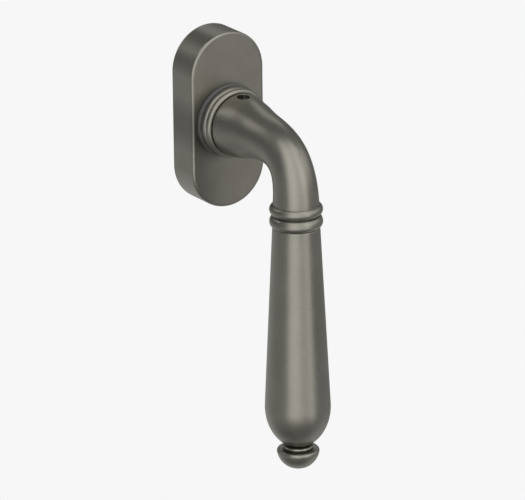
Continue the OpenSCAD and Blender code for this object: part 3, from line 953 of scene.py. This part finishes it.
def pewter_finish(name="pewter_finish", shade=None):
    """Brass with a dark pewter finish: slightly cloudy, finely grained, brighter on edges from abrasion and a
    painted highlight, dark in hollows from a painted shade.

    shade: a round painted shade, darker, at the spindle's height, as its centre's x, radius, fade and share.
    """
    material, g = new_material(name)
    place = g.millimetres()
    cloud = g.noise(place, 0.11, 3.0, 0.55)
    mottle = g.noise(place, 0.9, 4.0, 0.6)
    grain = g.noise(place, 5.0, 4.0, 0.65)
    edge = g.add("ShaderNodeAttribute", attribute_name="edge").outputs["Fac"]
    # Edges get lighter from abrasion and a painted highlight; hollows get a painted shade.
    wear_and_painted_light = g.math("MULTIPLY", g.ramp(edge, 0.1, 1.0), g.ramp(mottle, 0.3, 0.6, 0.55, 1.0))
    hollow = g.ramp(edge, -0.2, -0.75)
    tone = g.math("MULTIPLY_ADD", cloud, 0.55, g.math("MULTIPLY", mottle, 0.45))
    colour = g.mix(g.ramp(tone, 0.36, 0.66), PEWTER_DARK, PEWTER_LIGHT)
    colour = g.mix(g.math("MULTIPLY", wear_and_painted_light, 0.5), colour, PEWTER_WEAR_AND_SHEEN)
    colour = g.mix(g.math("MULTIPLY", hollow, 0.9), colour, PEWTER_SHADE)
    # A painted shade: a round darker patch in the colour.
    if shade:
        x, radius, fade, share = shade
        flat = g.stretched(place, 1.0, 0.0, 1.0)
        reach = g.add("ShaderNodeVectorMath", {0: flat, 1: (x, 0, 0)}, operation="DISTANCE").outputs["Value"]
        cover = g.math("MULTIPLY", g.ramp(reach, radius + fade, radius), share)
        colour = g.mix(cover, colour, PEWTER_SHADE)
    roughness = g.math("MULTIPLY_ADD", g.ramp(grain, 0.3, 0.7), 0.05, PEWTER_ROUGHNESS)
    roughness = g.math("MULTIPLY_ADD", g.ramp(tone, 0.36, 0.66), 0.03, roughness)
    roughness = g.math("MULTIPLY_ADD", wear_and_painted_light, -0.06, roughness)
    roughness = g.math("MULTIPLY_ADD", hollow, 0.12, roughness)
    height = g.math("MULTIPLY_ADD", mottle, 1.4, grain)
    close_material(g, colour, roughness, g.bump(height, 0.0045), Metallic=1.0)
    return material


PEWTER_DARK = (0.314, 0.300, 0.260)
PEWTER_LIGHT = (0.346, 0.332, 0.290)
# Lighter colour of edges: abrasion together with a painted highlight.
PEWTER_WEAR_AND_SHEEN = (0.46, 0.44, 0.385)
# Painted shade, in hollows and round the collar.
PEWTER_SHADE = (0.05, 0.047, 0.042)
PEWTER_ROUGHNESS = 0.34
# A round painted shade on the cover's face near the collar: centre's x, radius, fade and share.
ROSETTE_SHADE = (-4.0, 10.0, 7.0, 0.5)


def moulded(name, dark, light, roughness, speckle):
    """A moulded polymer: a fine spark-eroded grain and faint flow clouds."""
    material, g = new_material(name)
    place = g.millimetres()
    cloud = g.noise(place, 0.25, 2.0)
    grain = g.noise(place, speckle, 3.0, 0.6)
    colour = g.mix(g.ramp(cloud, 0.3, 0.7), dark, light)
    colour = g.mix(g.math("MULTIPLY", g.ramp(grain, 0.55, 0.75), 0.25), colour, light)
    rough = g.math("MULTIPLY_ADD", grain, 0.12, roughness)
    close_material(g, colour, rough, g.bump(grain, 0.012))
    return material


def machined(name, dark, light, roughness, grain_scale, stretch, depth):
    """Plated or drawn steel: streaks along one direction and small stains."""
    material, g = new_material(name)
    place = g.millimetres()
    streak = g.noise(g.stretched(place, *stretch), grain_scale, 3.0, 0.6)
    stain = g.noise(place, 0.5, 4.0, 0.6)
    colour = g.mix(g.ramp(streak, 0.3, 0.7), dark, light)
    colour = g.mix(g.math("MULTIPLY", g.ramp(stain, 0.52, 0.72), 0.45), colour, dark)
    rough = g.math("MULTIPLY_ADD", g.ramp(stain, 0.3, 0.7), 0.12, roughness)
    rough = g.math("MULTIPLY_ADD", streak, 0.08, rough)
    close_material(g, colour, rough, g.bump(streak, depth), Metallic=1.0)
    return material


def cast(name, dark, light):
    """Die-cast zinc: a dull skin with flow marks and small pits."""
    material, g = new_material(name)
    place = g.millimetres()
    flow = g.noise(g.stretched(place, 1.0, 1.0, 0.35), 0.5, 4.0, 0.6)
    skin = g.noise(place, 3.0, 4.0, 0.6)
    pits = g.add("ShaderNodeTexVoronoi", {"Vector": place, "Scale": 1.1}).outputs["Distance"]
    pit = g.ramp(pits, 0.16, 0.05)
    colour = g.mix(g.ramp(flow, 0.3, 0.7), dark, light)
    colour = g.mix(g.math("MULTIPLY", pit, 0.5), colour, dark)
    rough = g.math("MULTIPLY_ADD", skin, 0.2, 0.42)
    height = g.math("MULTIPLY_ADD", pit, -1.5, skin)
    close_material(g, colour, rough, g.bump(height, 0.03), Metallic=0.9)
    return material


def floor_paper():
    """The pale ground: a sheet that shines evenly, with a very faint tooth."""
    material, g = new_material("floor_paper")
    place = g.millimetres()
    tooth = g.noise(place, 0.05, 3.0)
    colour = g.mix(tooth, (0.925, 0.925, 0.925), (0.935, 0.935, 0.935))
    shine = g.add("ShaderNodeEmission", {"Color": colour, "Strength": 1.0})
    g.add("ShaderNodeOutputMaterial", {"Surface": shine.outputs[0]})
    return material


# ---------------------------------------------------------------- light, floor and camera
BACKGROUND = 0.930
FILL = 0.161
# Soft boxes, in degrees: azimuth, half width, elevation, half height and softness of the edge; then strength.
# Azimuth 0 is straight out from the sash and grows to the right. The fill and all of these values are the
# printout of a least-squares fit to the photo's shading, not settings chosen by hand.
SOFT_BOXES = (
    (-21, 47, 9, 38, 8, 1.11),      # in front, a little left, level with the handle
    (-11, 77, 64, 17, 6, 1.15),     # overhead
    (49, 38, 25, 9, 30, 1.28),      # on the right, very soft
    (-141, 8, 38, 14, 5, 1.33),     # behind, on the left
    (-136, 66, -23, 8, 30, 0.39),   # low, behind, on the left
    (131, 79, -77, 55, 30, 0.37),   # from below
    (145, 20, 37, 7, 4, 0.99),      # behind, on the right
    (-7, 16, 30, 62, 5, -0.48),     # takes light away in front, which no real lamp does
)


def studio_light():
    """The metal reflects a few soft boxes in a dark room. The camera sees an even near-white."""
    world = bpy.data.worlds.new("studio")
    bpy.context.scene.world = world
    world.use_nodes = True
    g = Graph(world.node_tree)
    way = g.add("ShaderNodeTexCoord").outputs["Generated"]
    x, y, z = g.add("ShaderNodeSeparateXYZ", {0: way}).outputs
    azimuth = g.math("MULTIPLY", g.math("ARCTAN2", x, g.math("MULTIPLY", y, -1.0)), 180 / math.pi)
    elevation = g.math("MULTIPLY", g.math("ARCSINE", z), 180 / math.pi)
    total = FILL
    for az, wide, el, tall, soft, strength in SOFT_BOXES:
        turn = g.math("ABSOLUTE", g.math("WRAP", g.math("SUBTRACT", azimuth, az), 180.0, -180.0))
        rise = g.math("ABSOLUTE", g.math("SUBTRACT", elevation, el))
        across = g.ramp(turn, wide + soft, wide - soft)
        along = g.ramp(rise, tall + soft, tall - soft)
        total = g.math("MULTIPLY_ADD", g.math("MULTIPLY", across, along), strength, total)
    total = g.math("MAXIMUM", total, 0.0)
    seen = g.add("ShaderNodeLightPath").outputs["Is Camera Ray"]
    strength = g.math("MULTIPLY_ADD", seen, g.math("SUBTRACT", BACKGROUND, total), total)
    glow = g.add("ShaderNodeBackground", {"Color": (1, 1, 1, 1), "Strength": strength})
    g.add("ShaderNodeOutputWorld", {"Surface": glow.outputs[0]})
    bpy.context.scene.view_settings.view_transform = "Standard"


FLOOR_R = 4.0
FLOOR_DROP = 0.3


def lay_floor():
    """A round pale sheet, well below the handle, that only the camera sees."""
    work = bmesh.new()
    bmesh.ops.create_circle(work, cap_ends=True, segments=96, radius=FLOOR_R)
    mesh = bpy.data.meshes.new("floor")
    work.to_mesh(mesh)
    work.free()
    floor = bpy.data.objects.new("floor", mesh)
    floor.location = (0, 0, FINIAL_END * MM - FLOOR_DROP)
    floor.visible_diffuse = False
    floor.visible_glossy = False
    floor.visible_shadow = False
    floor.data.materials.append(floor_paper())
    bpy.context.scene.collection.objects.link(floor)


def set_camera():
    data = bpy.data.cameras.new("camera")
    data.lens = CAMERA_LENS
    data.sensor_width = SENSOR
    data.clip_start = 0.1
    data.clip_end = 50
    camera = bpy.data.objects.new("camera", data)
    bpy.context.scene.collection.objects.link(camera)
    a, e, roll = (math.radians(v) for v in (CAMERA_AZIMUTH, CAMERA_ELEVATION, CAMERA_ROLL))
    back = Vector((math.sin(a) * math.cos(e), -math.cos(a) * math.cos(e), math.sin(e)))
    right = Vector((math.cos(a), math.sin(a), 0))
    up = back.cross(right)
    across = math.cos(roll) * right + math.sin(roll) * up
    upward = -math.sin(roll) * right + math.cos(roll) * up
    turn = Matrix((across, upward, back)).transposed().to_4x4()
    camera.matrix_world = Matrix.Translation(CAMERA_TARGET + back * CAMERA_DISTANCE) @ turn
    bpy.context.scene.camera = camera


# ---------------------------------------------------------------- the object
WELD_DISTANCE = 0.002
BEVEL_ANGLE = math.radians(50)


def keep(node, material, bevel_mm=0.0):
    """Keeps a CAD node as it is, with its own material and, where it helps, slightly broken edges."""
    piece = frame["nodes"][node]
    if not piece.data.materials:
        piece.data.materials.append(material)
    for place in range(len(piece.data.materials)):
        piece.material_slots[place].link = "OBJECT"
        piece.material_slots[place].material = material
    if bevel_mm:
        weld = piece.modifiers.new("weld", "WELD")
        weld.merge_threshold = WELD_DISTANCE * MM
        bevel = piece.modifiers.new("edges", "BEVEL")
        bevel.width = bevel_mm * MM
        bevel.segments = 2
        bevel.limit_method = "ANGLE"
        bevel.angle_limit = BEVEL_ANGLE
        bevel.harden_normals = True


def build():
    pewter = pewter_finish()
    band = moulded("band_polymer", (0.098, 0.095, 0.092), (0.128, 0.124, 0.120), 0.38, 6.0)
    bearing = moulded("bearing_polymer", (0.70, 0.68, 0.62), (0.78, 0.77, 0.71), 0.45, 3.0)
    zinc = cast("zinc_casting", (0.36, 0.37, 0.39), (0.52, 0.53, 0.55))
    plated = machined(
        "plated_steel", (0.50, 0.52, 0.56), (0.68, 0.69, 0.71), 0.26, 2.0, (1.0, 0.15, 1.0), 0.01)
    spring = machined(
        "spring_steel", (0.20, 0.21, 0.24), (0.34, 0.35, 0.39), 0.24, 2.5, (1.0, 1.0, 0.1), 0.008)
    rosette_cover(pewter_finish("pewter_rosette", shade=ROSETTE_SHADE))
    collar_bush(band)
    neck_collar(pewter)
    lever_neck(pewter)
    grip_ferrule(pewter)
    grip(pewter)
    finial(pewter)
    set_screw(plated)
    spindle(plated)
    for name, side in (("upper", 1), ("lower", -1)):
        fixing_screw("fixing_screw_" + name, side, plated)
        lug("lug_" + name, side, plated)
    for node in ("keeper_plate", "keeper_rivets", "tie_rod"):
        keep(node, plated, 0.12)
    keep("spring_washer", spring, 0.06)
    for node in ("detent_spring_left", "detent_spring_right", "cover_clip_upper", "cover_clip_lower"):
        keep(node, spring, 0.06)
    keep("base_plate", zinc, 0.2)
    keep("drive_hub", zinc, 0.2)
    keep("hub_bush", bearing, 0.15)


build()
studio_light()
lay_floor()
set_camera()

bpy.context.view_layer.update()
